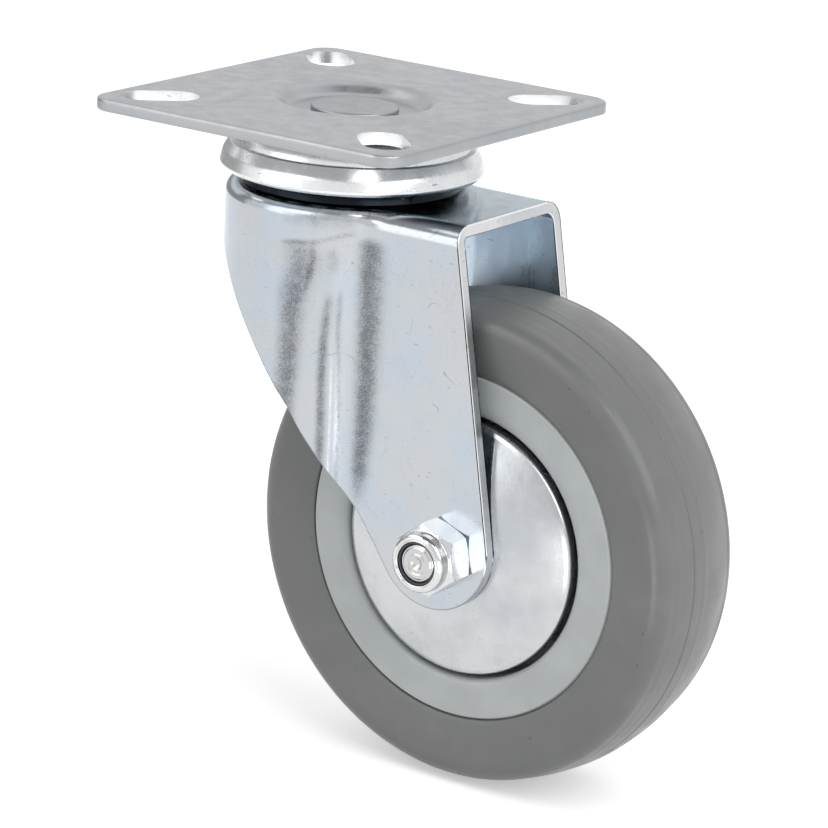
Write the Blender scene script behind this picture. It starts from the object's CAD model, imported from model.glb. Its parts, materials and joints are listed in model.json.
"""Looks of the swivel castor: pressed zinc fork and plate, grey rubber wheel, nut and thread guards."""

import json
import logging
import math
from dataclasses import dataclass, field
from enum import Enum

import bmesh
import bpy
import numpy as np
from mathutils import Matrix, Vector


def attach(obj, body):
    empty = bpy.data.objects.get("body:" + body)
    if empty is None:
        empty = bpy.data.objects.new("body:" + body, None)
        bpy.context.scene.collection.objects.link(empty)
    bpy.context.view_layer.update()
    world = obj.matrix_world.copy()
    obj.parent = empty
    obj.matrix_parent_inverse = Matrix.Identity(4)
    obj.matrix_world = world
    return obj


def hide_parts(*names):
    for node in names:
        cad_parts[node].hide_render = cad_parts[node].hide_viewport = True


LOG = logging.getLogger("castor")
MM = 0.001
Corner = tuple[float, float, float]
Colour = tuple[float, float, float]
Mesh = bpy.types.Mesh
Material = bpy.types.Material
Socket = bpy.types.NodeSocket

# the axle's distance in front of the swivel axis and below the plate's top, in millimetres
TRAIL, DROP = 39.15, 82.8
# what the lamps and cards face, in metres
AIM = (0.02, 0.0, -0.06)
# points closer than the first are merged and edges shorter than the second taken out, in metres
MERGE, SLIVER = 2e-7, 1e-7

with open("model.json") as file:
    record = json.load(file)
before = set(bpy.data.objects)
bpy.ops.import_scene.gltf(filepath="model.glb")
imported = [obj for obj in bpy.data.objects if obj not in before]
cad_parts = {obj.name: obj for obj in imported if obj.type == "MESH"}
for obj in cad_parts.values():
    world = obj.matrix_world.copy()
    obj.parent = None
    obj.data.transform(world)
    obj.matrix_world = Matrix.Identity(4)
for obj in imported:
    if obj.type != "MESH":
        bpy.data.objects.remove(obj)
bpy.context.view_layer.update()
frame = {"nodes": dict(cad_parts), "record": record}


class Hand(Enum):
    """The two sides of the wheel: the lock nut's side and the bolt head's side."""

    NEAR = -1
    FAR = 1


# Mesh building


def round_corners(corners: list[Corner], steps: int = 5, closed: bool = True) -> np.ndarray:
    """Replace each corner of an outline by an arc that touches both its edges.

    The arc of radius r at a corner that turns by t starts r * tan(t / 2) before the corner.

    Args:
        corners: Each corner's two coordinates and its radius, in millimetres.
        steps: Number of arc pieces per rounded corner.
        closed: Whether the last corner joins the first.

    Returns:
        The outline's points, one row each.
    """
    points = np.array([corner[:2] for corner in corners], float)
    rows = []
    count = len(points)
    for index, (here, radius) in enumerate(zip(points, (corner[2] for corner in corners))):
        ends = index in (0, count - 1) and not closed
        if radius <= 0 or ends:
            rows.append(here)
            continue
        before = points[index - 1] - here
        after = points[(index + 1) % count] - here
        before /= np.linalg.norm(before)
        after /= np.linalg.norm(after)
        half = math.acos(max(-1.0, min(1.0, float(before @ after)))) / 2
        middle = (before + after) / np.linalg.norm(before + after)
        centre = here + middle * radius / math.sin(half)
        start = here + before * radius / math.tan(half) - centre
        end = here + after * radius / math.tan(half) - centre
        turn = math.atan2(start[0] * end[1] - start[1] * end[0], float(start @ end))
        angles = np.linspace(0, turn, steps + 1)
        spin = np.stack([start[0] * np.cos(angles) - start[1] * np.sin(angles),
                         start[0] * np.sin(angles) + start[1] * np.cos(angles)], -1)
        rows.extend(centre + spin)
    return np.array(rows)


def arc(centre: tuple[float, float], radius: float, start: float, end: float,
        steps: int = 24) -> list[Corner]:
    """Points of a circle's arc, as corners that need no rounding.

    Args:
        centre: The circle's centre.
        radius: Its radius in millimetres.
        start: First angle in degrees.
        end: Last angle in degrees.
        steps: Number of pieces.

    Returns:
        The arc's points with radius zero.
    """
    angles = np.radians(np.linspace(start, end, steps + 1))
    return [(centre[0] + radius * math.cos(a), centre[1] + radius * math.sin(a), 0.0) for a in angles]


def grid_faces(rows: int, columns: int, wrap_rows: bool = False, wrap_columns: bool = True) -> np.ndarray:
    """Quads that join the points of a grid stored row by row.

    Args:
        rows: Number of rows.
        columns: Points in a row.
        wrap_rows: Whether the last row joins the first.
        wrap_columns: Whether each row closes on itself.

    Returns:
        Four point numbers for each face.
    """
    row = np.arange(rows if wrap_rows else rows - 1)[:, None]
    column = np.arange(columns if wrap_columns else columns - 1)[None, :]
    below, beside = (row + 1) % rows, (column + 1) % columns
    quads = [row * columns + column, row * columns + beside,
             below * columns + beside, below * columns + column]
    return np.stack(np.broadcast_arrays(*quads), -1).reshape(-1, 4)


def bell(value: np.ndarray, middle: np.ndarray | float, spread: np.ndarray | float) -> np.ndarray:
    """Bell shape: e to the power of minus the squared distance from the middle, in spreads."""
    return np.exp(-((value - middle) / spread) ** 2)


def window(value: np.ndarray, low: float, high: float, spreads: tuple[float, float]) -> np.ndarray:
    """One from low to high and nought outside, through a logistic step of its own spread at each end."""
    return 1 / (1 + np.exp(-(value - low) / spreads[0])) / (1 + np.exp((value - high) / spreads[1]))


def level(plan: np.ndarray, height: float) -> np.ndarray:
    """Points of an outline in plan, all at one height."""
    return np.column_stack([plan, np.full(len(plan), height)])


def shade(mesh: Mesh, sharp: float) -> None:
    """Shade a mesh smooth, except at edges that turn by more than this many degrees."""
    mesh.polygons.foreach_set("use_smooth", np.ones(len(mesh.polygons), bool))
    mesh.set_sharp_from_angle(angle=math.radians(sharp))


def mesh_from(name: str, points: np.ndarray, faces: np.ndarray | list[list[int]], sharp: float = 38.0,
              values: np.ndarray | None = None) -> Mesh:
    """Make a clean, smooth-shaded mesh from points in millimetres.

    Args:
        name: The mesh's name.
        points: One row per point.
        faces: Point numbers of each face.
        sharp: Edges that turn by more than this many degrees stay sharp.
        values: How hard the sheet was drawn at each point, kept as the attribute "drawn".

    Returns:
        The mesh, with doubles merged and faces pointing out.
    """
    mesh = bpy.data.meshes.new(name)
    mesh.from_pydata((points * MM).tolist(), [], faces.tolist() if isinstance(faces, np.ndarray) else faces)
    if values is not None:
        mesh.attributes.new("drawn", "FLOAT", "POINT").data.foreach_set("value", values.astype(np.float32))
    work = bmesh.new()
    work.from_mesh(mesh)
    bmesh.ops.remove_doubles(work, verts=work.verts, dist=MERGE)
    bmesh.ops.dissolve_degenerate(work, edges=work.edges, dist=SLIVER)
    bmesh.ops.recalc_face_normals(work, faces=work.faces)
    work.to_mesh(mesh)
    work.free()
    shade(mesh, sharp)
    return mesh


def turn_rows(radii: np.ndarray, heights: np.ndarray) -> np.ndarray:
    """Points (r cos a, r sin a, h) for rows of radii, where the angle a goes once round along a row.

    Args:
        radii: The radius at each row and angle.
        heights: The height of each row.

    Returns:
        One row per point, in the order of the grid.
    """
    angle = np.linspace(0, 2 * np.pi, radii.shape[1], endpoint=False)
    grid = np.broadcast_arrays(radii * np.cos(angle), radii * np.sin(angle), heights[:, None])
    return np.stack(grid, -1).reshape(-1, 3)


def lathe(profile: np.ndarray, segments: int = 192, closed: bool = True) -> tuple[np.ndarray, np.ndarray]:
    """Turn a profile of (radius, height) about the Z axis.

    Args:
        profile: The outline's points in millimetres.
        segments: Steps of the full turn.
        closed: Whether the profile is a loop, and not a line from axis to axis.

    Returns:
        The grid's points and faces.
    """
    points = turn_rows(np.repeat(profile[:, :1], segments, 1), profile[:, 1])
    return points, grid_faces(len(profile), segments, wrap_rows=closed)


def along_axle(points: np.ndarray, hand: Hand = Hand.FAR) -> np.ndarray:
    """Lay points turned about Z along the wheel's axle.

    Args:
        points: Points round the Z axis, in millimetres.
        hand: The side that the points' +Z end goes to.

    Returns:
        The points in the castor's frame.
    """
    side = hand.value
    return np.stack([points[:, 0] + TRAIL, points[:, 2] * side, -points[:, 1] * side - DROP], -1)


def put(name: str, data: bpy.types.ID) -> bpy.types.Object:
    """Put a new object with its data into the scene.

    Args:
        name: The object's name.
        data: Its mesh, lamp or camera.

    Returns:
        The object.
    """
    made = bpy.data.objects.new(name, data)
    bpy.context.scene.collection.objects.link(made)
    return made


def piece(name: str, mesh: Mesh, material: Material, body: str, slot: str, *nodes: str) -> bpy.types.Object:
    """Put a mesh into the scene as a piece that stands for CAD nodes.

    Args:
        name: The piece's name.
        mesh: Its mesh, in metres in the castor's frame.
        material: Its finish.
        body: The moving body that carries it.
        slot: The record's material slot.
        nodes: The CAD nodes that it stands for.

    Returns:
        The object.
    """
    made = put(name, mesh)
    mesh.materials.append(material)
    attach(made, body)
    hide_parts(*nodes)
    LOG.info("%s: %d faces", name, len(mesh.polygons))
    return made


def modify(made: bpy.types.Object, name: str, kind: str, **settings: object) -> None:
    """Add a modifier and set its properties.

    Args:
        made: The object.
        name: The modifier's name.
        kind: The modifier's type.
        settings: Its properties and their values.
    """
    modifier = made.modifiers.new(name, kind)
    for key, value in settings.items():
        setattr(modifier, key, value)


def even_shading(made: bpy.types.Object) -> None:
    """Weight the normals by face size, so that flat faces stay flat beside their rounded edges."""
    modify(made, "EvenShading", "WEIGHTED_NORMAL", mode="FACE_AREA", keep_sharp=True)


def cut_out(made: bpy.types.Object, tool: Mesh, sharp: float) -> Mesh:
    """Cut a tool's shape out of an object and bake the object's modifiers into a new mesh.

    Args:
        made: The object.
        tool: The shape to cut away.
        sharp: Edges that turn by more than this many degrees stay sharp.

    Returns:
        The object's new mesh.
    """
    cutter = put(tool.name, tool)
    modify(made, "Cut", "BOOLEAN", object=cutter, operation="DIFFERENCE", solver="EXACT")
    depsgraph = bpy.context.evaluated_depsgraph_get()
    baked = bpy.data.meshes.new_from_object(made.evaluated_get(depsgraph))
    made.modifiers.clear()
    blank = made.data
    made.data = baked
    bpy.data.meshes.remove(blank)
    bpy.data.objects.remove(cutter)
    shade(baked, sharp)
    return baked


# Finishes


class Nodes:
    """A node tree, with short calls for the nodes that the finishes and the world share."""

    def __init__(self, tree: bpy.types.NodeTree) -> None:
        """Keep the tree."""
        self.tree = tree

    def node(self, kind: str, inputs: dict[str | int, object] | None = None,
             **settings: object) -> bpy.types.Node:
        """Add a node, set its own properties and feed its inputs.

        Args:
            kind: The node's type.
            inputs: A value or a socket for each input, by name or number.
            settings: The node's own properties and their values.

        Returns:
            The node.
        """
        made = self.tree.nodes.new(kind)
        for key, value in settings.items():
            setattr(made, key, value)
        for key, value in (inputs or {}).items():
            self.feed(made.inputs[key], value)
        return made

    def feed(self, target: Socket, value: object) -> None:
        """Set an input to a value, or link it where the value is a socket.

        Args:
            target: The input.
            value: A number, a colour, a vector or another node's output.
        """
        if isinstance(value, Socket):
            self.tree.links.new(value, target)
        else:
            target.default_value = value

    def maths(self, operation: str, first: object, second: object) -> Socket:
        """The result of a sum on two values."""
        return self.node("ShaderNodeMath", {0: first, 1: second}, operation=operation).outputs["Value"]

    def seen(self) -> Socket:
        """Tell the camera's, mirrored and see-through rays from the others by the larger of their flags.

        Returns:
            One for those rays and nought for the others.
        """
        rays = self.node("ShaderNodeLightPath").outputs
        both = self.maths("MAXIMUM", rays["Is Camera Ray"], rays["Is Glossy Ray"])
        return self.maths("MAXIMUM", both, rays["Is Transmission Ray"])


class NodeSheet(Nodes):
    """A material's nodes round one Principled shader."""

    def __init__(self, name: str) -> None:
        """Start the material.

        Args:
            name: The material's name.
        """
        self.material = bpy.data.materials.new(name)
        self.material.use_nodes = True
        super().__init__(self.material.node_tree)
        self.shader = next(node for node in self.tree.nodes if node.type == "BSDF_PRINCIPLED")
        self.place = self.node("ShaderNodeTexCoord").outputs["Object"]

    def dress(self, inputs: dict[str, object]) -> Material:
        """Feed the shader's inputs and hand over the material.

        Args:
            inputs: A value or a socket for each input, by name.

        Returns:
            The material.
        """
        for name, value in inputs.items():
            self.feed(self.shader.inputs[name], value)
        return self.material

    def axes(self) -> bpy.types.bpy_prop_collection:
        """X, Y and Z of the object coordinates."""
        return self.node("ShaderNodeSeparateXYZ", {0: self.place}).outputs

    def mapped(self, stretch: Corner, turn: Corner) -> Socket:
        """Object coordinates, stretched, and turned by angles in degrees.

        Args:
            stretch: Factor along each axis.
            turn: Angle about each axis in degrees.

        Returns:
            The coordinates.
        """
        radians = [math.radians(angle) for angle in turn]
        inputs = {"Vector": self.place, "Scale": stretch, "Rotation": radians}
        return self.node("ShaderNodeMapping", inputs).outputs["Vector"]

    def noise(self, scale: float, detail: float = 3.0, roughness: float = 0.55,
              vector: Socket | None = None) -> Socket:
        """Noise value at a scale in features per metre."""
        inputs = {"Vector": vector or self.place, "Scale": scale, "Detail": detail, "Roughness": roughness}
        return self.node("ShaderNodeTexNoise", inputs).outputs["Fac"]

    def span(self, value: Socket, low: float, high: float, start: float = 0.0, end: float = 1.0) -> Socket:
        """Map a value from low..high to start..end, held at the ends."""
        inputs = {"Value": value, "From Min": low, "From Max": high, "To Min": start, "To Max": end}
        return self.node("ShaderNodeMapRange", inputs, interpolation_type="SMOOTHSTEP").outputs["Result"]

    def blend(self, share: object, first: object, second: object) -> Socket:
        """Mix two colours by a share.

        Args:
            share: How much of the second colour there is, from 0 to 1.
            first: A colour or a socket.
            second: A colour or a socket.

        Returns:
            The mixed colour.
        """
        made = self.node("ShaderNodeMix", data_type="RGBA")
        self.feed(made.inputs["Factor"], share)
        for name, value in (("A", first), ("B", second)):
            socket = next(s for s in made.inputs if s.name == name and s.type == "RGBA")
            self.feed(socket, (*value, 1.0) if isinstance(value, tuple) else value)
        return next(s for s in made.outputs if s.type == "RGBA")

    def bump(self, height: Socket, depth: float) -> Socket:
        """A bump whose height is a value times a depth in metres."""
        inputs = {"Height": height, "Distance": depth, "Strength": 1.0}
        return self.node("ShaderNodeBump", inputs).outputs["Normal"]


@dataclass(frozen=True)
class ZincFinish:
    """Zinc plating on steel: a grey metal with bluish clouds, fine speckle, rub marks and dark ticks.

    The fork's own plating also darkens where the sheet was drawn hard, is bluer on the crown and greasy
    round the boss, and its sheared front edge is bright.
    """

    name: str
    colour: Colour = (0.56, 0.575, 0.59)
    tint: Colour = (0.42, 0.50, 0.59)
    tint_share: float = 0.7
    dark: Colour = (0.33, 0.34, 0.36)
    roughness: float = 0.30
    roughness_spread: float = 0.12
    speckle: float = 0.35
    ticks: float = 0.8
    scratches: float = 0.0
    grain_depth: float = 0.00002
    drawn_bands: bool = False
    drawn_colour: Colour = (0.145, 0.155, 0.17)
    rubbed_colour: Colour = (0.95, 0.96, 0.98)
    drawn_roughness: float = 0.2
    blue_crown: bool = False
    crown_span: tuple[float, float] = (-0.0182, -0.0170)
    crown_colour: Colour = (0.26, 0.35, 0.41)
    crown_share: float = 0.75
    grease_span: tuple[float, float] = (0.00056, 0.00051)
    grease_colour: Colour = (0.012, 0.016, 0.02)
    bright_front: bool = False
    front_lean: float = 0.18
    front_span: tuple[float, float] = (0.0336, 0.0342)
    front_colour: Colour = (0.82, 0.83, 0.84)

    def draw(self, sheet: NodeSheet, drawn: Socket, base: Socket) -> Socket:
        """Darken the plating by its drawn value times coarse noise, or brighten it below nought.

        Args:
            sheet: The material's nodes.
            drawn: How hard the sheet was drawn.
            base: The colour so far.

        Returns:
            The new colour.
        """
        coarse = sheet.span(sheet.noise(3600.0, 3.0, 0.85), 0.36, 0.64, 0.58, 1.22)
        uneven = sheet.span(sheet.noise(420.0, 2.0, 0.5), 0.35, 0.65, 0.86, 1.06)
        share = sheet.maths("MULTIPLY", drawn, sheet.maths("MULTIPLY", coarse, uneven))
        base = sheet.blend(sheet.span(share, 0.0, 1.0), base, self.drawn_colour)
        return sheet.blend(sheet.span(share, 0.0, -1.0), base, self.rubbed_colour)

    def colour_crown(self, sheet: NodeSheet, base: Socket) -> Socket:
        """Make the crown bluer, and dark with grease inside a circle given by its squared radius.

        Args:
            sheet: The material's nodes.
            base: The colour so far.

        Returns:
            The new colour.
        """
        x, y, z = sheet.axes()
        top = sheet.span(z, *self.crown_span)
        base = sheet.blend(sheet.maths("MULTIPLY", top, self.crown_share), base, self.crown_colour)
        reach = sheet.maths("ADD", sheet.maths("POWER", x, 2.0), sheet.maths("POWER", y, 2.0))
        greased = sheet.maths("MULTIPLY", top, sheet.span(reach, *self.grease_span))
        return sheet.blend(greased, base, self.grease_colour)

    def brighten_front(self, sheet: NodeSheet, base: Socket) -> Socket:
        """Brighten the front edges, along which X plus the lean times Z stays the same.

        Args:
            sheet: The material's nodes.
            base: The colour so far.

        Returns:
            The new colour.
        """
        x, _, z = sheet.axes()
        ahead = sheet.maths("ADD", x, sheet.maths("MULTIPLY", z, self.front_lean))
        return sheet.blend(sheet.span(ahead, *self.front_span), base, self.front_colour)

    def scratch(self, sheet: NodeSheet, base: Socket) -> Socket:
        """Draw dark scratches along the lines where a wide, gently bent noise crosses its middle value.

        Args:
            sheet: The material's nodes.
            base: The colour so far.

        Returns:
            The new colour.
        """
        line = sheet.maths("ABSOLUTE", sheet.maths("SUBTRACT", sheet.noise(55.0, 2.0, 0.45), 0.5), 0.0)
        where = sheet.span(sheet.noise(160.0, 2.0, 0.5), 0.57, 0.63, 0.0, self.scratches)
        share = sheet.maths("MULTIPLY", sheet.span(line, 0.0028, 0.0010), where)
        return sheet.blend(share, base, self.dark)

    def build(self) -> Material:
        """Make the material.

        Returns:
            The material.
        """
        sheet = NodeSheet(self.name)
        clouds = sheet.span(sheet.noise(45.0, 4.0, 0.6), 0.42, 0.68, 0.0, self.tint_share)
        base = sheet.blend(clouds, self.colour, self.tint)
        grain = sheet.noise(2600.0, 2.0, 0.7)
        patches = sheet.span(sheet.noise(120.0), 0.40, 0.66)
        speckle = sheet.maths("MULTIPLY", sheet.span(grain, 0.50, 0.74, 0.0, self.speckle), patches)
        base = sheet.blend(speckle, base, self.dark)
        rub = sheet.noise(260.0, 4.0, 0.65, sheet.mapped((1.0, 1.0, 0.25), (12.0, 0.0, 30.0)))
        low, high = self.roughness - self.roughness_spread / 2, self.roughness + self.roughness_spread
        rough = sheet.span(rub, 0.30, 0.75, low, high)
        if self.drawn_bands:
            drawn = sheet.node("ShaderNodeAttribute", attribute_name="drawn").outputs["Fac"]
            base = self.draw(sheet, drawn, base)
            hard = sheet.maths("MAXIMUM", drawn, 0.0)
            rough = sheet.maths("ADD", rough, sheet.maths("MULTIPLY", hard, self.drawn_roughness))
        if self.blue_crown:
            base = self.colour_crown(sheet, base)
        if self.bright_front:
            base = self.brighten_front(sheet, base)
        tick_place = sheet.mapped((1.0, 1.0, 3.2), (18.0, 9.0, 25.0))
        ticks = sheet.span(sheet.noise(520.0, 1.0, 0.4, tick_place), 0.745, 0.775, 0.0, self.ticks)
        base = sheet.blend(ticks, base, self.dark)
        if self.scratches > 0:
            base = self.scratch(sheet, base)
        height = sheet.maths("ADD", sheet.noise(900.0, 3.0, 0.6), sheet.maths("MULTIPLY", grain, 0.5))
        return sheet.dress({"Base Color": base, "Metallic": 1.0, "Roughness": rough,
                            "Normal": sheet.bump(height, self.grain_depth)})


@dataclass(frozen=True)
class SteelFinish:
    """Plain ground steel of the hidden balls, rings and cages."""

    name: str
    colour: Colour = (0.55, 0.55, 0.56)
    roughness: float = 0.22

    def build(self) -> Material:
        """Make the material.

        Returns:
            The material.
        """
        sheet = NodeSheet(self.name)
        lines = sheet.noise(1800.0, 2.0, 0.5)
        darker = tuple(part * 0.8 for part in self.colour)
        base = sheet.blend(sheet.span(lines, 0.4, 0.7), self.colour, darker)
        rough = sheet.span(lines, 0.3, 0.7, self.roughness * 0.8, self.roughness * 1.3)
        return sheet.dress({"Base Color": base, "Metallic": 1.0, "Roughness": rough})


@dataclass(frozen=True)
class PlasticFinish:
    """Moulded plastic with faint clouds and a soft sheen."""

    name: str
    colour: Colour
    roughness: float = 0.42
    cloud: float = 0.08
    dirt: float = 0.15

    def build(self) -> Material:
        """Make the material.

        Returns:
            The material.
        """
        sheet = NodeSheet(self.name)
        darker = tuple(part * (1.0 - self.cloud) for part in self.colour)
        base = sheet.blend(sheet.span(sheet.noise(90.0, 4.0), 0.35, 0.65), self.colour, darker)
        specks = sheet.span(sheet.noise(1500.0, 2.0, 0.6), 0.70, 0.80, 0.0, self.dirt)
        base = sheet.blend(specks, base, tuple(part * 0.55 for part in self.colour))
        rough = sheet.span(sheet.noise(300.0), 0.3, 0.7, self.roughness - 0.05, self.roughness + 0.07)
        return sheet.dress({"Base Color": base, "Roughness": rough,
                            "Normal": sheet.bump(sheet.noise(1400.0, 2.0), 0.00001)})


@dataclass(frozen=True)
class RubberFinish:
    """Grey rubber: dull and even, with faint smears, pale scuffs and small dark nicks."""

    name: str
    colour: Colour = (0.164, 0.169, 0.166)
    pale: Colour = (0.24, 0.245, 0.24)
    dark: Colour = (0.08, 0.08, 0.08)
    roughness: float = 0.34

    def build(self) -> Material:
        """Make the material.

        Returns:
            The material.
        """
        sheet = NodeSheet(self.name)
        smears = sheet.span(sheet.noise(40.0, 5.0, 0.65), 0.42, 0.75, 0.0, 0.35)
        base = sheet.blend(smears, self.colour, self.pale)
        scuff_place = sheet.mapped((1.0, 0.4, 2.2), (0.0, 35.0, 0.0))
        scuffs = sheet.span(sheet.noise(330.0, 3.0, 0.6, scuff_place), 0.70, 0.78, 0.0, 0.35)
        base = sheet.blend(scuffs, base, self.pale)
        nicks = sheet.span(sheet.noise(700.0, 1.0, 0.4), 0.79, 0.82, 0.0, 0.6)
        base = sheet.blend(nicks, base, self.dark)
        rough = sheet.span(sheet.noise(110.0, 4.0), 0.3, 0.7, self.roughness - 0.06, self.roughness + 0.10)
        skin = sheet.maths("ADD", sheet.noise(2200.0, 2.0), sheet.noise(500.0))
        return sheet.dress({"Base Color": base, "Roughness": rough, "Normal": sheet.bump(skin, 0.00003)})


def made_once(finish: ZincFinish | SteelFinish | PlasticFinish | RubberFinish) -> Material:
    """A field whose material is made when the finishes are."""
    return field(default_factory=finish.build)


@dataclass
class Finishes:
    """All the castor's materials, made once."""

    sheet: Material = made_once(ZincFinish("ZincSheet"))
    fork: Material = made_once(ZincFinish(
        "ZincFork", colour=(0.49, 0.505, 0.525), roughness=0.17, roughness_spread=0.08, scratches=0.8,
        speckle=0.5, drawn_bands=True, blue_crown=True))
    fork_inside: Material = made_once(ZincFinish(
        "ZincForkInside", colour=(0.60, 0.69, 0.77), tint=(0.46, 0.57, 0.68), tint_share=0.8))
    plate: Material = made_once(ZincFinish(
        "ZincPlate", colour=(0.38, 0.39, 0.40), tint=(0.33, 0.355, 0.385), roughness=0.34, scratches=0.7,
        speckle=0.5))
    pin: Material = made_once(ZincFinish(
        "ZincPin", colour=(0.34, 0.35, 0.36), tint=(0.31, 0.33, 0.35), roughness=0.40))
    bright: Material = made_once(ZincFinish(
        "BrightZinc", colour=(0.55, 0.56, 0.57), tint=(0.39, 0.415, 0.44), roughness=0.20, speckle=0.12,
        ticks=0.3))
    cut: Material = made_once(ZincFinish(
        "ZincCutEdge", colour=(0.61, 0.62, 0.63), tint=(0.42, 0.44, 0.46), roughness=0.36, speckle=0.9))
    sheared: Material = made_once(ZincFinish(
        "ZincSheared", colour=(0.36, 0.37, 0.38), tint=(0.28, 0.29, 0.30), roughness=0.20,
        bright_front=True))
    slot: Material = made_once(ZincFinish(
        "ZincSlotWall", colour=(0.86, 0.87, 0.88), tint=(0.76, 0.78, 0.80), roughness=0.30))
    ring: Material = made_once(ZincFinish(
        "ZincRing", colour=(0.76, 0.77, 0.78), tint=(0.60, 0.63, 0.66), roughness=0.22, speckle=0.7,
        roughness_spread=0.10))
    bolt_end: Material = made_once(ZincFinish(
        "ZincBolt", colour=(0.52, 0.52, 0.52), tint=(0.50, 0.52, 0.54), roughness=0.12,
        roughness_spread=0.10, grain_depth=0.00004))
    nut: Material = made_once(ZincFinish(
        "ZincNut", colour=(0.64, 0.64, 0.64), tint=(0.55, 0.56, 0.57), roughness=0.10, roughness_spread=0.10,
        speckle=0.6, grain_depth=0.00004))
    steel: Material = made_once(SteelFinish("GroundSteel"))
    rim: Material = made_once(PlasticFinish("RimPlastic", colour=(0.50, 0.53, 0.53)))
    insert: Material = made_once(PlasticFinish("InsertPlastic", colour=(0.035, 0.045, 0.06)))
    rubber: Material = made_once(RubberFinish("GreyRubber"))


# Sub-assemblies


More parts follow.
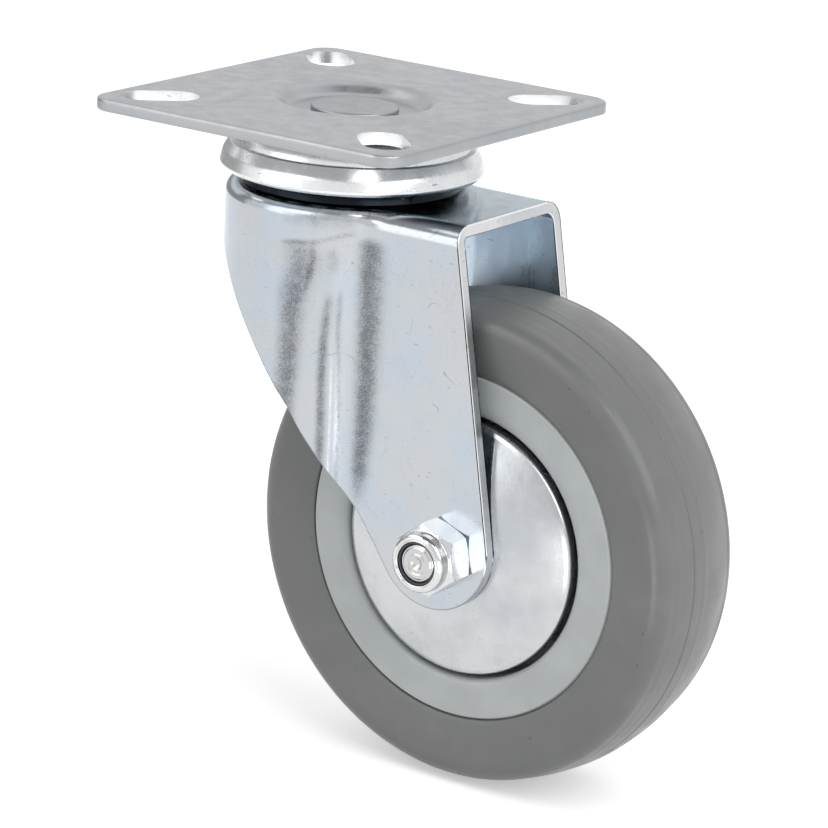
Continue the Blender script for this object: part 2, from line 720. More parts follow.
@dataclass
class TopPlate:
    """The slotted plate with its dished centre, and the king pin's head in it."""

    length: float = 73.8
    width: float = 79.3
    gauge: float = 2.5
    corner: float = 5.1
    slot_length: float = 15.5
    slot_width: float = 9.5
    slot_centre: tuple[float, float] = (27.2, 28.4)
    dish_radius: float = 16.0
    dish_depth: float = 2.4
    wall_run: float = 2.4
    hole: float = 6.05

    def outline(self, inset: float) -> np.ndarray:
        """Rounded rectangle, with arcs at the corners and evenly stepped sides.

        Args:
            inset: Distance inside the plate's edge.

        Returns:
            The outline's points, counter-clockwise from the far end of the front edge.
        """
        half = np.array([self.length / 2 - self.corner, self.width / 2 - self.corner])
        radius = self.corner - inset
        sides = []
        for quarter, (across, back) in enumerate(((1, 1), (-1, 1), (-1, -1), (1, -1))):
            angles = np.radians(90 * quarter + np.linspace(0, 90, 13))
            centre = half * (across, back)
            sides.append(centre + radius * np.stack([np.cos(angles), np.sin(angles)], -1))
        rows = []
        for here, there in zip(sides, sides[1:] + sides[:1]):
            rows.append(here[:-1])
            rows.append(here[-1] + (there[0] - here[-1]) * np.linspace(0, 1, 36, endpoint=False)[:, None])
        return np.concatenate(rows)

    def plate_mesh(self) -> Mesh:
        """Surface that runs from the pin's hole over the dish, round the edge and back underneath.

        The inner rows are circles at the outline's own angles, and the outer rows are inset outlines.

        Returns:
            The plate without its slots.
        """
        edge = self.outline(0.0)
        angle = np.arctan2(edge[:, 1], edge[:, 0])
        unit = np.stack([np.cos(angle), np.sin(angle)], -1)
        floor, flat = self.dish_radius - self.wall_run, self.dish_radius + 5
        shift = self.gauge * math.tan(math.radians(22.5))
        top = round_corners([(self.hole, -self.dish_depth, 0), (floor, -self.dish_depth, 2.6),
                             (self.dish_radius, 0, 3.4), (flat, 0, 0)], 8, closed=False)
        under = round_corners([(flat, -self.gauge, 0), (self.dish_radius + shift, -self.gauge, 1.5),
                               (floor + shift, -self.dish_depth - self.gauge, 2.5),
                               (self.hole, -self.dish_depth - self.gauge, 0)], 8, closed=False)
        # the punched edge: rolled over at the top, a little rough at the bottom
        rim = [(0.75, 0.0), (0.45, -0.05), (0.2, -0.17), (0.05, -0.38), (0.0, -0.7), (0.0, -1.9),
               (0.02, -2.3), (0.1, -2.44), (0.25, -2.5)]
        rows = [level(unit * radius, height) for radius, height in top]
        rows += [level(self.outline(inset), height) for inset, height in rim]
        rows += [level(unit * radius, height) for radius, height in under]
        return mesh_from("plate", np.concatenate(rows), grid_faces(len(rows), len(unit), wrap_rows=True))

    def slot_mesh(self) -> Mesh:
        """Four upright cutters, each a straight stretch with round ends along its diagonal.

        Returns:
            The cutters as one mesh.
        """
        run, radius = (self.slot_length - self.slot_width) / 2, self.slot_width / 2
        turn = np.radians(np.linspace(-90, 90, 25))
        end = np.stack([run + radius * np.cos(turn), radius * np.sin(turn)], -1)
        loop = np.concatenate([end, -end])
        count = len(loop)
        above, below = 2.0, -5.0
        points, faces = [], []
        for across, back in ((1, 1), (-1, 1), (-1, -1), (1, -1)):
            angle = math.atan2(back, across)
            spin = np.array([[math.cos(angle), math.sin(angle)], [-math.sin(angle), math.cos(angle)]])
            plan = loop @ spin + np.array(self.slot_centre) * (across, back)
            start = count * len(points)
            points += [level(plan, above), level(plan, below)]
            faces += (grid_faces(2, count) + start).tolist()
            faces += [list(range(start, start + count)), list(range(start + count, start + 2 * count))[::-1]]
        return mesh_from("slots", np.concatenate(points), faces)

    def slot_walls(self, mesh: Mesh) -> np.ndarray:
        """Which faces stand upright between the dish and the rolled edge, as the slots' walls do.

        Args:
            mesh: The plate with its slots.

        Returns:
            True for each such face.
        """
        border, dish, upright = 2.1, 25.0, 0.3
        middles, normals = np.empty(len(mesh.polygons) * 3), np.empty(len(mesh.polygons) * 3)
        mesh.polygons.foreach_get("center", middles)
        mesh.polygons.foreach_get("normal", normals)
        across, back, _ = np.abs(middles.reshape(-1, 3).T) / MM
        inside = (across < self.length / 2 - border) & (back < self.width / 2 - border)
        return inside & (np.hypot(across, back) > dish) & (np.abs(normals.reshape(-1, 3)[:, 2]) < upright)

    def build(self, finishes: Finishes) -> None:
        """Make the plate and the pin's head.

        Args:
            finishes: The castor's materials.
        """
        made = piece("plate_pressing", self.plate_mesh(), finishes.plate, "top_plate", "zinc_sheet",
                     "mounting_plate")
        mesh = cut_out(made, self.slot_mesh(), 38.0)
        mesh.materials.append(finishes.slot)
        mesh.polygons.foreach_set("material_index", self.slot_walls(mesh).astype(np.int32))
        modify(made, "SlotEdges", "BEVEL", width=0.35 * MM, segments=3, limit_method="ANGLE",
               angle_limit=math.radians(50))
        even_shading(made)
        pin = round_corners([(0, -1.4, 0), (8.9, -1.42, 0.55), (8.9, -2.4, 0), (6.0, -2.4, 0),
                             (6.0, -17.29, 0), (5.0, -17.29, 0), (5.0, -19.29, 0), (7.5, -19.29, 0),
                             (7.5, -20.6, 0.8), (5.0, -21.89, 0.6), (0, -21.89, 0)], 5, closed=False)
        rivet = mesh_from("rivet", *lathe(pin, 128, closed=False))
        even_shading(piece("rivet", rivet, finishes.pin, "top_plate", "zinc_pin", "king_pin"))


@dataclass
class RaceCup:
    """The flared ring under the plate."""

    gauge: float = 2.0
    pitch: float = 19.0
    ball_height: float = -9.3
    race: float = 3.05
    hub: float = 6.05
    hub_top: float = -4.9
    flare: tuple[float, float] = (26.8, -13.6)
    lip: tuple[float, float] = (25.9, -14.4)

    def build(self, finishes: Finishes) -> None:
        """Make the cup: hub, arch over the balls, a crisp fold, the flare and its rolled lip.

        Args:
            finishes: The castor's materials.
        """
        outer = self.race + self.gauge
        rise = self.hub_top - self.ball_height
        start = math.degrees(math.asin(rise / outer))
        inner_start = math.degrees(math.asin((rise - self.gauge) / self.race))
        across, down = self.lip
        profile = [(self.hub, self.hub_top, 0.0)]
        profile += arc((self.pitch, self.ball_height), outer, 180 - start, 6)
        profile += [(24.45, -8.75, 0.25), (24.95, -8.95, 0.25), (26.2, -11.2, 4.0), (*self.flare, 0.7),
                    (across + 0.1, down, 0.3), (across - 0.5, down, 0.1), (across - 0.55, down + 0.25, 0.1),
                    (across - 1.2, down + 0.25, 0.1), (across - 1.25, down, 0.1),
                    (across - self.gauge, down, 0.3)]
        profile += arc((self.pitch, self.ball_height), self.race, 0, 180 - inner_start)
        profile += [(self.hub, self.hub_top - self.gauge, 0.0)]
        cup = mesh_from("flared_cup", *lathe(round_corners(profile, 4), 224))
        even_shading(piece("flared_cup", cup, finishes.ring, "top_plate", "zinc_sheet", "upper_race_cup"))


@dataclass(frozen=True)
class Streak:
    """A stripe of the fork's skirt where the sheet was drawn hard, or rubbed bright by negative powers."""

    heights: tuple[float, ...]
    middles: tuple[float, ...]
    spreads: tuple[float, ...]
    powers: tuple[float, ...]

    def at(self, angle: np.ndarray, height: np.ndarray) -> np.ndarray:
        """Strength at a place: a bell shape whose middle, spread and power go with height.

        Args:
            angle: Direction from the swivel axis in degrees.
            height: Height in millimetres.

        Returns:
            The strength.
        """
        middle = np.interp(height, self.heights, self.middles)
        spread = np.interp(height, self.heights, self.spreads)
        return np.interp(height, self.heights, self.powers) * bell(angle, middle, spread)


@dataclass
class PressedFork:
    """The fork as one pressed sheet: crown with ball boss, round skirt, hollow blends, flutes and legs."""

    gauge: float = 2.5
    crown: float = -17.0
    skirt: float = 25.3
    skirt_bend: float = 2.6
    leg_bend: float = 3.8
    side: float = 18.2
    blend: float = 9.0
    front: float = 38.2
    lean: float = math.tan(math.radians(10.2))
    skirt_bottom: float = -27.0
    skirt_corner: float = 2.0
    skirt_edge: tuple[tuple[float, float], ...] = (
        (-25.3, -21.5), (-17.4, -31.0), (-14.2, -35.0), (-9.4, -41.1), (-4.2, -47.5), (0.6, -53.8),
        (3.2, -57.4))
    end_radius: float = 13.0
    end_height: float = -82.0
    rear_slope: float = math.radians(54.4)
    boss_foot: float = 22.2
    # flute and rib: middle and spread in degrees, and depth or rise
    flute: tuple[float, float, float] = (80.0, 4.4, 0.8)
    rib: tuple[float, float, float] = (60.0, 3.8, 0.25)
    rib_slant: float = 0.06
    rib_upright: float = -45.0
    rib_fade: tuple[float, float] = (-78.0, -66.0)
    recess: float = 0.35
    recess_sides: tuple[float, float] = (50.5, 76.0)
    ledge: tuple[float, float] = (-24.0, -27.5)
    arch: tuple[float, float, float] = (62.0, 3.2, 1.6)
    hole: float = 4.1
    streaks: tuple[Streak, ...] = (
        Streak((-58, -55, -48.5, -42, -35.7, -30, -26, -23.6), (82, 81.5, 80.8, 80, 79.8, 75.8, 76.5, 77.5),
               (6.0, 6.0, 6.2, 6.2, 7.4, 8.4, 8.8, 9.0), (0.75, 0.8, 0.82, 0.82, 0.82, 0.75, 0.6, 0.0)),
        Streak((-37, -33, -28, -25), (76, 73, 70.6, 70.4), (1.3, 1.3, 1.3, 1.3), (0.0, 0.3, 0.5, 0.1)),
        Streak((-60, -52, -42, -36, -33), (63.5, 64.3, 63.6, 62.5, 62), (2.4, 2.4, 2.4, 2.6, 2.6),
               (0.8, 0.8, 0.75, 0.5, 0.0)),
        Streak((-60, -50, -42, -35.5, -32), (55.2, 56.2, 57.4, 57.2, 57), (1.2, 1.2, 1.4, 1.6, 1.6),
               (0.5, 0.5, 0.6, 0.5, 0.0)),
        Streak((-31, -29, -26, -24), (60.5, 60.5, 61, 61), (3.2, 3.2, 3.2, 3.2), (0.0, 0.3, 0.35, 0.0)),
        Streak((-60, -52, -46, -42), (59.2, 59.6, 60.0, 60), (0.8, 0.8, 0.8, 0.8), (-0.55, -0.5, -0.3, 0.0)))
    leg_columns: int = 44
    blend_columns: int = 24
    skirt_columns: int = 84
    wall_rows: int = 84
    bend_rows: int = 9

    @property
    def blend_centre(self) -> tuple[float, float]:
        """Centre of the hollow blend between skirt and leg, on the +Y side."""
        back = self.side + self.blend
        return math.sqrt((self.skirt + self.blend) ** 2 - back ** 2), back

    def lower_edge(self) -> tuple[np.ndarray, np.ndarray]:
        """The leg's lower edge from the side: the sloping rear line, then the round end to the front line.

        Returns:
            The edge's X and Z, from the rear to the point where the round end meets the front line.
        """
        tilt = math.atan(self.lean)
        centre = self.front_line(self.end_height) - self.end_radius / math.cos(tilt)
        start = math.pi + (math.pi / 2 - self.rear_slope)
        angles = np.linspace(start, 2 * math.pi + tilt, 60)
        round_x = centre + self.end_radius * np.cos(angles)
        round_z = self.end_height + self.end_radius * np.sin(angles)
        reach = np.linspace(100.0, 0.0, 220, endpoint=False)
        line_x = round_x[0] - reach * math.cos(self.rear_slope)
        line_z = round_z[0] + reach * math.sin(self.rear_slope)
        skirt = np.array(self.skirt_edge)
        line_z = np.where(line_x < skirt[-1, 0], np.interp(line_x, skirt[:, 0], skirt[:, 1]), line_z)
        return np.concatenate([line_x, round_x]), np.concatenate([line_z, round_z])

    def front_line(self, height: np.ndarray | float) -> np.ndarray | float:
        """X of the fork's front edge at a height."""
        return self.front + (self.crown - height) * self.lean

    def columns(self) -> dict[str, np.ndarray]:
        """Places of the sheet's columns on the +Y half, from the leg's front edge to the middle of the back.

        Returns:
            For each column: share of the way to the front edge, plan position, outward direction, bend
            radius and height of its lower end.
        """
        edge_x, edge_z = self.lower_edge()
        across, back = self.blend_centre
        share = (edge_x - across) / (self.front_line(edge_z) - across)
        keep = share >= 0
        length = np.concatenate([[0], np.cumsum(np.hypot(np.diff(edge_x[keep]), np.diff(edge_z[keep])))])
        picks = np.linspace(length[-1], 0, self.leg_columns)
        leg_share = np.interp(picks, length, share[keep])
        leg_share[0], leg_share[-1] = 1.0, 0.0
        leg_end = np.interp(picks, length, edge_z[keep])
        top_x = across + (self.front - across) * leg_share
        leg = (leg_share, top_x, np.full_like(top_x, self.side), np.zeros_like(top_x), np.ones_like(top_x),
               np.full_like(top_x, self.leg_bend), leg_end)
        meet = math.atan2(back, across)
        turn = np.linspace(-math.pi / 2, meet - math.pi, self.blend_columns + 1)[1:]
        blend_x, blend_y = across + self.blend * np.cos(turn), back + self.blend * np.sin(turn)
        fade = np.linspace(0, 1, self.blend_columns + 1)[1:]
        blend_bend = self.leg_bend + (self.skirt_bend - self.leg_bend) * fade
        zero = np.zeros_like(turn)
        blend_end = np.interp(blend_x, edge_x, edge_z)
        blend = (zero, blend_x, blend_y, -np.cos(turn), -np.sin(turn), blend_bend, blend_end)
        # the columns stand closer where the flute and the rib are
        share_back = np.linspace(0, 1, self.skirt_columns + 1)[1:]
        angle = np.interp(share_back, (0, 0.64, 1), (meet, math.radians(94), math.pi))
        skirt_x, skirt_y = self.skirt * np.cos(angle), self.skirt * np.sin(angle)
        ends = np.interp(skirt_x, edge_x, edge_z)
        # the sloping edge runs into the level rear edge through a soft corner
        soft = self.skirt_corner
        ends = -soft * np.logaddexp(-ends / soft, -self.skirt_bottom / soft * np.ones_like(ends))
        zero = np.zeros_like(angle)
        bend = np.full_like(angle, self.skirt_bend)
        skirt = (zero, skirt_x, skirt_y, np.cos(angle), np.sin(angle), bend, ends)
        names = ("share", "x", "y", "out_x", "out_y", "bend", "end")
        return {name: np.concatenate(parts) for name, *parts in zip(names, leg, blend, skirt)}

    def below_ledge(self, angle: np.ndarray, height: np.ndarray) -> np.ndarray:
        """Smooth step from 0 above the arched ledge to 1 below it.

        The arch stands highest near the leg and dips where the flute starts.

        Args:
            angle: Direction from the swivel axis in degrees.
            height: Height in millimetres.

        Returns:
            The step's value.
        """
        top, bottom = self.ledge
        middle, waves, rise = self.arch
        arch = rise * np.cos(np.radians(angle - middle) * waves)
        below = np.clip((top + arch - height) / (top - bottom), 0, 1)
        return below * below * (3 - 2 * below)

    def pressing(self, angle: np.ndarray, height: np.ndarray) -> np.ndarray:
        """Depth to which the skirt is pressed in.

        Below the ledge lie a flute with a bell-shaped section and a flat recess; a rib with a bell-shaped
        section stands up in the recess and runs out towards the lower edge.

        Args:
            angle: Direction of the column from the swivel axis, in degrees from +X.
            height: Height in millimetres.

        Returns:
            The depth in millimetres.
        """
        middle, spread, depth = self.flute
        flute = depth * bell(angle, middle, spread)
        inside = window(angle, *self.recess_sides, (1.8, 2.0))
        middle, spread, rise = self.rib
        low, high = self.rib_fade
        runs_out = np.clip((height - low) / (high - low), 0, 1)
        rib = rise * bell(angle - (height - self.rib_upright) * self.rib_slant, middle, spread) * runs_out
        return self.below_ledge(angle, height) * (flute + inside * (self.recess - rib))

    def drawn(self, angle: np.ndarray, height: np.ndarray, x: np.ndarray, leg: np.ndarray) -> np.ndarray:
        """How hard the sheet was drawn, where its plating is coarser and darker: 0 not, 1 most, -1 rubbed.

        The sum of the streaks, a thin line along the ledge, a coarse patch in the bend above it and the
        hollow beside the leg.

        Args:
            angle: Direction from the swivel axis in degrees.
            height: Height in millimetres.
            x: Distance in front of the swivel axis in millimetres.
            leg: Whether the place is on a flat leg.

        Returns:
            The value at each place.
        """
        streaks = sum(streak.at(angle, height) for streak in self.streaks)
        ledge = np.interp(angle, (50, 58, 69, 85), (-21.8, -22.5, -24.1, -24.9))
        line = 0.45 * bell(height, ledge, 0.55)
        coarse = 0.33 * np.exp(-((height + 19.3) / 2.0) ** 4)
        skirt = streaks + window(angle, 51.5, 86.0, (0.9, 0.9)) * (line + coarse)
        # the hollow's dark band follows the blend, is wider to the front and fades and narrows downwards
        middle = np.interp(height, (-90, -75, -60, -45, -25), (17.6, 18.1, 18.6, 18.7, 18.5))
        narrow = np.interp(height, (-78, -60, -40, -25), (0.6, 0.8, 1.0, 1.0))
        hollow = 0.92 * bell(x, middle, np.where(x < middle, 2.3, 3.4) * narrow)
        hollow *= np.interp(height, (-79, -75, -70), (0.1, 0.5, 1.0))
        hollow *= np.where(leg, 1.0, 1 / (1 + np.exp((angle - 52.0) / 1.2)))
        hollow *= np.clip((-21.8 - height) / 2.0, 0, 1)
        return np.clip(np.where(leg, 0.0, skirt) + hollow, -1, 1)

    def wall(self) -> tuple[np.ndarray, np.ndarray]:
        """The bent wall as a grid: rows from the bend's start down to the lower edge.

        Returns:
            Points as rows by columns by three, and how hard the sheet was drawn at each.
        """
        half = self.columns()
        mirror = {name: values[-2::-1] for name, values in half.items()}
        mirror["y"], mirror["out_y"] = -mirror["y"], -mirror["out_y"]
        col = {name: np.concatenate([half[name], mirror[name]]) for name in half}
        tilt = np.linspace(0, math.pi / 2, self.bend_rows + 1)[:, None]
        bend_in = col["bend"] * (1 - np.sin(tilt))
        bend_z = self.crown - col["bend"] * (1 - np.cos(tilt))
        down = np.linspace(0, 1, self.wall_rows + 1)[1:, None]
        wall_top = self.crown - col["bend"]
        wall_z = wall_top + (col["end"] - wall_top) * down
        height = np.concatenate([bend_z, wall_z])
        inward = np.concatenate([bend_in, np.zeros_like(wall_z)])
        leg = col["share"] > 0
        centre_x = self.blend_centre[0]
        x = np.where(leg, centre_x + (self.front_line(height) - centre_x) * col["share"], col["x"])
        y = np.broadcast_to(col["y"], x.shape)
        angle = np.degrees(np.abs(np.arctan2(col["y"], col["x"])))
        pressed = inward + self.pressing(np.where(leg, 0, angle), height)
        grid = np.stack([x - col["out_x"] * pressed, y - col["out_y"] * pressed, height], -1)
        return grid, self.drawn(angle, height, x, np.broadcast_to(leg, x.shape))

    def boss_profile(self) -> np.ndarray:
        """Radius and height of the crown's raised boss, from its foot inwards to the hole.

        Returns:
            The profile's points.
        """
        corners = [(self.boss_foot + 0.25, self.crown, 0), (self.boss_foot, self.crown, 0.25)]
        corners += [(20.8, -12.35, 0.8)]
        corners += arc((19.0, -9.3), 3.05, 270, 222, 10)
        corners += arc((13.0, -14.74), 5.05, 42, 90, 10)
        corners += [(8.6, -9.69, 0)]
        return round_corners(corners, 4, closed=False)

    def build(self, finishes: Finishes) -> None:
        """Make the outer skin, give it the sheet's thickness and pierce the axle holes.

        Args:
            finishes: The castor's materials.
        """
        wall, mask = self.wall()
        top, columns = wall[0], wall.shape[1]
        across = np.linspace(1, -1, 34)[1:-1]
        front = level(np.column_stack([np.full(len(across), top[0, 0]), -top[0, 1] * across]), self.crown)
        ring = np.concatenate([top, front])
        angle = np.arctan2(ring[:, 1], ring[:, 0])
        unit = np.stack([np.cos(angle), np.sin(angle)], -1)
        boss = self.boss_profile()
        foot = level(unit * boss[0, 0], self.crown)
        steps = np.linspace(0, 1, 7)[:-1, None, None]
        crown = ring + (foot - ring) * steps
        rows = np.concatenate([crown, np.stack([level(unit * radius, height) for radius, height in boss])])
        points = np.concatenate([wall.reshape(-1, 3), rows.reshape(-1, 3)])
        faces = np.concatenate([grid_faces(len(wall), columns, wrap_columns=False),
                                grid_faces(len(rows), len(ring)) + mask.size])
        values = np.concatenate([mask.ravel(), np.zeros(rows.shape[0] * rows.shape[1])])
        mesh = mesh_from("fork_sheet", points, faces, sharp=60.0, values=values)
        made = piece("fork_pressing", mesh, finishes.fork, "swivel_fork", "zinc_sheet", "fork")
        for finish in (finishes.fork_inside, finishes.cut, finishes.sheared):
            mesh.materials.append(finish)
        # an open sheet has no inside of its own, so a leg's face tells which way is out
        if max(mesh.polygons, key=lambda face: face.center.y).normal.y < 0:
            mesh.flip_normals()
        modify(made, "Sheet", "SOLIDIFY", thickness=self.gauge * MM, offset=-1.0, use_even_offset=False,
               use_quality_normals=True, material_offset=1, material_offset_rim=2)
        far = 30.0
        bore = np.array([(0, -far), (self.hole, -far), (self.hole, far), (0, far)])
        points, faces = lathe(bore, 48, closed=False)
        cut_out(made, mesh_from("axle_cutter", along_axle(points), faces), 50.0)
        modify(made, "CutEdges", "BEVEL", width=0.28 * MM, segments=2, material=3, use_clamp_overlap=False,
               limit_method="ANGLE", angle_limit=math.radians(55))
        even_shading(made)


@dataclass
class Axle:
    """Lock nut with its insert, the bolt, and the thread guards on the axle."""

    seat: float = 18.2
    wrench: float = 13.0
    nut_corner: float = 39.0
    hex_height: float = 6.4
    height: float = 9.1
    collar: float = 6.0
    lip: float = 4.45
    bolt: float = 3.95
    leg_inner: float = 15.7
    sharp: float = 25.0

    def hex_solid(self, height: float, chamfers: tuple[float, float],
                  corner_at: float) -> tuple[np.ndarray, np.ndarray]:
        """Side of a hexagon bar with turned chamfers.

        The radius at each angle is the smaller of the flat's distance and the chamfer cone's radius.

        Args:
            height: Height of the bar.
            chamfers: Height of the chamfer at the bottom and at the top corners.
            corner_at: Angle of a corner in degrees.

        Returns:
            The radius at each height and angle, and the heights.
        """
        angle = np.linspace(0, 2 * np.pi, 360, endpoint=False)
        flat = self.wrench / 2 / np.cos((angle - math.radians(corner_at)) % (np.pi / 3) - np.pi / 6)
        levels = np.unique(np.concatenate([np.linspace(0, chamfers[0], 12), np.linspace(0, height, 8),
                                           np.linspace(height - chamfers[1], height, 12)]))
        slope = math.tan(math.radians(60))
        cut = np.maximum(0.0, np.maximum(chamfers[0] - levels, levels - (height - chamfers[1])))
        cone = self.wrench / math.sqrt(3) - cut * slope
        return np.minimum(flat[None, :], cone[:, None]), levels

    def nut_mesh(self) -> Mesh:
        """Hexagon with chamfered corners, then the turned collar that is rolled over the insert.

        Returns:
            The nut in its place.
        """
        hexagon, levels = self.hex_solid(self.hex_height, (0.65, 0.75), self.nut_corner)
        top = self.height
        foot = self.hex_height
        collar = round_corners([(self.collar + 0.25, foot, 0), (self.collar, foot, 0.3),
                                (self.collar, top - 0.55, 0.9), (self.collar - 0.75, top, 0.5),
                                (4.92, top, 0.05), (4.84, top - 0.14, 0.05), (4.7, top - 0.02, 0.05),
                                (self.lip, top, 0.2), (self.lip, top - 0.6, 0), (5.0, top - 0.6, 0),
                                (5.0, top - 2.6, 0), (4.0, top - 2.6, 0), (4.0, 0, 0)], 6, closed=False)
        count = hexagon.shape[1]
        radii = np.concatenate([hexagon, np.repeat(collar[:, :1], count, 1)])
        points = turn_rows(radii, np.concatenate([levels, collar[:, 1]]) + self.seat)
        return mesh_from("nut", along_axle(points, Hand.NEAR), grid_faces(len(radii), count, wrap_rows=True),
                         sharp=self.sharp)

    def turned(self, name: str, corners: list[Corner], hand: Hand, segments: int = 128) -> Mesh:
        """A piece turned on the axle."""
        points, faces = lathe(round_corners(corners), segments)
        return mesh_from(name, along_axle(points, hand), faces)

    def bolt_mesh(self) -> Mesh:
        """Bolt end with its centre mark, shank and chamfered hexagon head on the far side.

        Returns:
            The bolt in its place.
        """
        head = 5.3
        hexagon, levels = self.hex_solid(head, (0.0, 0.8), 0.0)
        tip = -(self.seat + self.height - 0.3)
        # the centre mark, two faint turned steps and the chamfer
        shank = round_corners([(0, tip + 1.15, 0), (1.3, tip + 0.05, 0.25), (1.75, tip, 0.1),
                               (2.05, tip + 0.14, 0.1), (2.4, tip + 0.02, 0.1), (3.05, tip + 0.05, 0.15),
                               (3.35, tip + 0.3, 0.1), (3.55, tip + 0.26, 0.1),
                               (self.bolt, tip + 0.55, 0.12), (self.bolt, self.seat, 0)], 5, closed=False)
        # the head's end is a shallow dish
        dish = np.array([(5.4, head), (5.0, head - 0.1), (0.0, head - 0.1)])
        count = hexagon.shape[1]
        rows = [np.repeat(shank[:, :1], count, 1), hexagon, np.repeat(dish[:, :1], count, 1)]
        radii = np.concatenate(rows)
        points = turn_rows(radii, np.concatenate([shank[:, 1], levels + self.seat, dish[:, 1] + self.seat]))
        return mesh_from("bolt", along_axle(points), grid_faces(len(radii), count), sharp=self.sharp)

    def guard_mesh(self, hand: Hand) -> Mesh:
        """Domed disc: flat where it is clamped, a long arc outwards and a turned-in rim.

        Args:
            hand: The guard's side of the wheel.

        Returns:
            The guard in its place.
        """
        flat, crest, edge, rise, gauge = 8.0, 25.3, 26.35, 2.9, 0.8
        sweep = crest - flat
        dome = (sweep ** 2 + rise ** 2) / (2 * rise)
        end = math.degrees(math.asin(sweep / dome))
        base = self.leg_inner
        corners = [(4.1, base - gauge, 0.0)]
        corners += arc((flat, base - dome), dome - gauge, 90, 90 - end + 0.6, 30)
        corners += [(crest, base - rise - gauge - 0.05, 0.4), (edge - gauge, base - rise - 2.6, 0.15),
                    (edge, base - rise - 2.6, 0.15), (edge, base - rise - 0.55, 0.9),
                    (crest, base - rise + 0.02, 0.45)]
        corners += arc((flat, base - dome), dome, 90 - end + 1.2, 90, 30)
        corners += [(4.1, base, 0.0)]
        return self.turned("guard", corners, hand, segments=224)

    def build(self, finishes: Finishes) -> None:
        """Make the pieces on the axle that show.

        Args:
            finishes: The castor's materials.
        """
        piece("locking_nut", self.nut_mesh(), finishes.nut, "swivel_fork", "zinc_fastener", "lock_nut")
        top = self.seat + self.height
        corners = [(4.0, top - 2.6, 0), (5.0, top - 2.6, 0), (5.0, top - 0.6, 0), (4.4, top - 0.6, 0),
                   (4.3, top - 0.35, 0.1), (4.0, top - 0.42, 0)]
        ring = self.turned("insert", corners, Hand.NEAR)
        piece("insert_ring", ring, finishes.insert, "swivel_fork", "insert_plastic", "nut_insert")
        piece("bolt", self.bolt_mesh(), finishes.bolt_end, "swivel_fork", "zinc_fastener", "axle_bolt")
        for hand, word in ((Hand.NEAR, "near"), (Hand.FAR, "far")):
            even_shading(piece(f"guard_disc_{word}", self.guard_mesh(hand), finishes.bright, "swivel_fork",
                               "bright_zinc", f"thread_guard_{word}"))


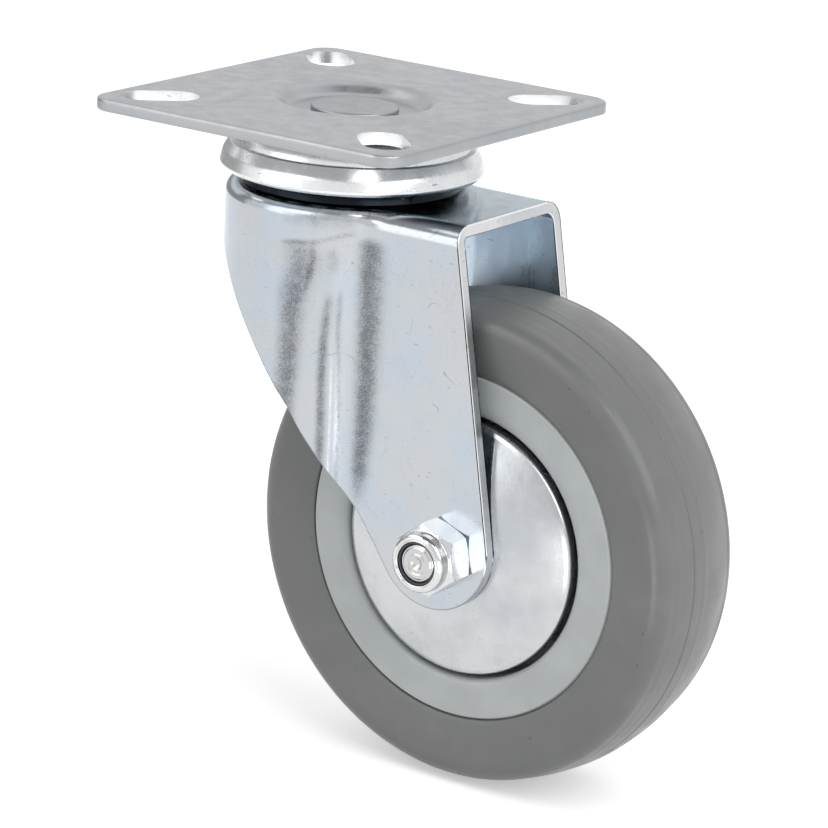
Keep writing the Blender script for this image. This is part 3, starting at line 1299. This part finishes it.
@dataclass
class Wheel:
    """Rim and tyre, both turned about the axle."""

    radius: float = 50.0
    half: float = 13.5
    shoulder: float = 3.5
    crown: float = 1.35
    rim: float = 35.74
    rim_face: float = 12.27
    ribs: int = 8

    def tread(self, side: np.ndarray) -> np.ndarray:
        """Radius of the crowned tread at a distance from the middle plane.

        Args:
            side: The distance in millimetres.

        Returns:
            The radius, which falls off along a circle's arc.
        """
        edge = self.half - self.shoulder
        crown_radius = (edge ** 2 + self.crown ** 2) / (2 * self.crown)
        return self.radius - crown_radius + np.sqrt(crown_radius ** 2 - side ** 2)

    def tyre_profile(self) -> np.ndarray:
        """Closed outline: sidewalls, round shoulders, and a crowned tread with its mould lines.

        Returns:
            Radius and distance from the middle plane of each point.
        """
        edge = self.half - self.shoulder
        side = np.unique(np.concatenate([np.linspace(-edge, edge, 81),
                                         (-4.6, -4.45, -4.3, -4.15, -4.0), (-8.3, -8.1, -7.9)]))
        # a fine groove, a faint raised seam and a shallow step where the tread's texture starts
        groove = 0.28 * bell(side, -4.3, 0.13)
        seam = 0.10 * bell(side, -0.6, 0.5)
        step = 0.05 / (1 + np.exp(-(side + 8.1) / 0.08))
        tread = np.stack([self.tread(side) - groove + seam - step, side], -1)[::-1]
        tread[:, 0] = np.minimum(tread[:, 0], self.radius)
        start = self.radius - self.crown - self.shoulder
        shoulder = np.array([(x, y) for x, y, _ in arc((start, edge), self.shoulder, 90, 0, 10)])
        wall = np.array([(self.rim, self.rim_face - 0.75), (self.rim + 0.12, self.rim_face - 0.2),
                         (self.rim + 0.22, self.rim_face - 0.05), (self.rim + 0.45, self.rim_face + 0.05)])
        blend = np.linspace(0, 1, 12)[1:-1, None]
        swell = wall[-1:] * (1 - blend) + shoulder[:1] * blend
        swell[:, 1] += 0.12 * np.sin(blend[:, 0] * np.pi)
        key = np.array([(38.4, 5.0), (self.rim, 5.0)])
        upper = np.concatenate([key, wall, swell, shoulder[:-1]])
        lower = upper[::-1] * (1, -1)
        return np.concatenate([upper, tread, lower])

    def build(self, finishes: Finishes) -> None:
        """Make the tyre and the rim.

        Args:
            finishes: The castor's materials.
        """
        points, faces = lathe(self.tyre_profile(), 256)
        tyre = mesh_from("tyre", along_axle(points), faces, sharp=70.0)
        piece("rubber_tyre", tyre, finishes.rubber, "wheel", "grey_rubber", "tyre")
        half = [(9.5, 7.0, 0), (11.0, 7.0, 0), (11.0, 13.6, 0.2), (14.6, 13.6, 0.4), (14.6, 1.6, 1.0),
                (27.4, 1.6, 1.0), (27.4, 12.1, 1.5), (29.7, 12.32, 2.0),
                (self.rim - 0.45, self.rim_face, 0.4), (self.rim - 0.02, 11.5, 0.05),
                (self.rim - 0.02, 5.0, 0), (38.38, 5.0, 0)]
        corners = half + [(x, -y, r) for x, y, r in half[::-1]]
        points, faces = lathe(round_corners(corners, 5), 224)
        meshes, quads = [points], [faces]
        # the ribs taper from the hub to the ring
        box = np.array([(x, y, z * high) for x, high in ((14.0, 9.5), (28.0, 3.0))
                        for y in (-0.9, 0.9) for z in (-1, 1)])
        sides = np.array([(0, 1, 3, 2), (4, 6, 7, 5), (0, 4, 5, 1),
                          (2, 3, 7, 6), (0, 2, 6, 4), (1, 5, 7, 3)])
        for index in range(self.ribs):
            spin = np.array(Matrix.Rotation(2 * math.pi * index / self.ribs, 3, "Z"))
            quads.append(sides + sum(len(part) for part in meshes))
            meshes.append(box @ spin.T)
        rim = mesh_from("rim", along_axle(np.concatenate(meshes)), np.concatenate(quads))
        even_shading(piece("moulded_rim", rim, finishes.rim, "wheel", "rim_plastic", "wheel_rim"))


# Studio


def toward(azimuth: float, elevation: float) -> np.ndarray:
    """Unit direction at an azimuth from +X towards +Y and an elevation, both in degrees."""
    turn, rise = math.radians(azimuth), math.radians(elevation)
    return np.array([math.cos(turn) * math.cos(rise), math.sin(turn) * math.cos(rise), math.sin(rise)])


@dataclass
class Studio:
    """Pale floor, soft lights, cards that only gloss sees, and the camera."""

    floor_height: float = -0.1328
    floor_half: float = 6.0
    camera_place: tuple[float, float, float] = (0.43025, -0.60743, 0.15491)
    azimuth: float = 34.14
    elevation: float = 16.49
    roll: float = 3.14
    lens: float = 164.18

    def camera(self) -> None:
        """Camera that looks down along the view direction, where azimuth 0 is -Y, and is rolled about it."""
        back = Vector(toward(self.azimuth - 90.0, self.elevation))
        right = Vector((0, 0, 1)).cross(back).normalized()
        upright = Matrix((right, back.cross(right), back)).transposed().to_4x4()
        data = bpy.data.cameras.new("camera")
        data.lens = self.lens
        data.sensor_width = 36.0
        data.clip_start, data.clip_end = 0.05, 20.0
        camera = put("camera", data)
        rolled = upright @ Matrix.Rotation(math.radians(self.roll), 4, "Z")
        camera.matrix_world = Matrix.Translation(self.camera_place) @ rolled
        bpy.context.scene.camera = camera

    def stage_sheet(self, name: str, corners: list[Corner], colour: float, glow: object,
                    sheet: NodeSheet) -> bpy.types.Object:
        """Put up a flat, dull sheet that gives off white light and isn't part of the castor.

        Args:
            name: Its name.
            corners: Its four corners in metres.
            colour: The grey of its surface.
            glow: How brightly it shines, where 1 is white.
            sheet: Its material's nodes.

        Returns:
            The object.
        """
        mesh = bpy.data.meshes.new(name)
        mesh.from_pydata(corners, [], [(0, 1, 2, 3)])
        made = put(name, mesh)
        mesh.materials.append(sheet.dress({
            "Base Color": (colour, colour, colour, 1), "Roughness": 0.9, "Specular IOR Level": 0.0,
            "Emission Color": (1, 1, 1, 1), "Emission Strength": glow}))
        return made

    def floor(self) -> None:
        """A wide pale floor that keeps the castor's shadow and shows white to the camera and to gloss."""
        half = self.floor_half
        corners = [(half * side, half * back, self.floor_height)
                   for side, back in ((-1, -1), (1, -1), (1, 1), (-1, 1))]
        sheet = NodeSheet("PaleFloor")
        self.stage_sheet("floor", corners, 0.93, sheet.maths("MULTIPLY", sheet.seen(), 0.42), sheet)

    def world(self) -> None:
        """A white world to the camera and to gloss, and a gentle one to everything else."""
        world = bpy.data.worlds.new("Studio")
        bpy.context.scene.world = world
        world.use_nodes = True
        nodes = Nodes(world.node_tree)
        background = next(node for node in nodes.tree.nodes if node.type == "BACKGROUND")
        strength = nodes.node("ShaderNodeMapRange", {"Value": nodes.seen(), "To Min": 0.50, "To Max": 1.0})
        nodes.feed(background.inputs["Color"], (1, 1, 1, 1))
        nodes.feed(background.inputs["Strength"], strength.outputs["Result"])

    def lamp(self, name: str, azimuth: float, elevation: float, size: float, power: float) -> None:
        """An area lamp that faces the castor.

        Args:
            name: The lamp's name.
            azimuth: Its direction round the castor, in degrees from +X towards +Y.
            elevation: Its height above the horizon in degrees.
            size: The length of its sides in metres.
            power: Its power in watts.
        """
        distance = 1.5
        data = bpy.data.lights.new(name, "AREA")
        data.size = size
        data.energy = power
        lamp = put(name, data)
        way = Vector(toward(azimuth, elevation))
        lamp.location = Vector(AIM) + way * distance
        lamp.rotation_euler = way.to_track_quat("Z", "Y").to_euler()

    def card(self, name: str, azimuth: float, elevation: float, distance: float, size: tuple[float, float],
             shade: float) -> None:
        """A card that faces the castor and is seen by gloss only.

        Args:
            name: The card's name.
            azimuth: Direction of its middle in degrees from +X towards +Y.
            elevation: Its height above the horizon in degrees.
            distance: Its distance in metres.
            size: Its width and height in metres.
            shade: Its brightness, where 1 is white.
        """
        way, across = toward(azimuth, elevation), toward(azimuth + 90.0, 0.0)
        up = np.cross(way, across)
        middle = np.array(AIM) + way * distance
        corners = [tuple(middle + across * side * size[0] / 2 + up * high * size[1] / 2)
                   for side, high in ((-1, -1), (1, -1), (1, 1), (-1, 1))]
        card = self.stage_sheet(name, corners, 0.0, shade, NodeSheet(name))
        for ray in ("camera", "diffuse", "shadow", "transmission"):
            setattr(card, f"visible_{ray}", False)

    def build(self) -> None:
        """Set the stage."""
        self.floor()
        self.world()
        self.lamp("key_light", -18.0, 42.0, 1.3, 12.8)
        self.lamp("fill_light", -150.0, 50.0, 1.1, 3.0)
        self.lamp("back_light", 95.0, 55.0, 1.1, 1.2)
        self.card("bright_left_card", -120.0, 17.0, 0.9, (0.55, 0.60), 2.0)
        self.card("bright_low_card", -46.7, -18.4, 0.0984, (0.028, 0.028), 3.7)
        self.card("bright_tall_card", -105.0, 35.0, 0.5, (0.20, 0.20), 3.0)
        self.card("dark_left_card", -172.0, 12.0, 0.7, (0.20, 0.45), 0.42)
        self.card("grey_back_card", 158.0, 2.0, 0.7, (0.60, 0.26), 0.40)
        self.card("dark_top_card", -60.0, 76.0, 0.8, (1.0, 0.5), 0.12)
        self.camera()
        bpy.context.scene.view_settings.view_transform = "Standard"


def dress_inner_nodes(finishes: Finishes) -> None:
    """Give the CAD nodes that stay, the hidden bearings and races, their ground or zinc-plated steel.

    Args:
        finishes: The castor's materials.
    """
    slots = {entry["node"]: entry["material_slot"] for entry in frame["record"]["subparts"]}
    by_slot = {"bearing_steel": finishes.steel, "zinc_sheet": finishes.sheet, "zinc_pin": finishes.pin,
               "zinc_fastener": finishes.bright, "bright_zinc": finishes.bright, "rim_plastic": finishes.rim,
               "insert_plastic": finishes.insert, "grey_rubber": finishes.rubber}
    for name, node in frame["nodes"].items():
        for entry in node.material_slots:
            entry.material = by_slot[slots[name]]


def main() -> None:
    """Build the castor's looks in order, and keep the size of the CAD model and of the dressed one."""
    logging.basicConfig(level=logging.INFO)
    finishes = Finishes()
    dress_inner_nodes(finishes)
    for part in (TopPlate(), RaceCup(), PressedFork(), Axle(), Wheel()):
        part.build(finishes)
    Studio().build()


if __name__ == "__main__":
    main()
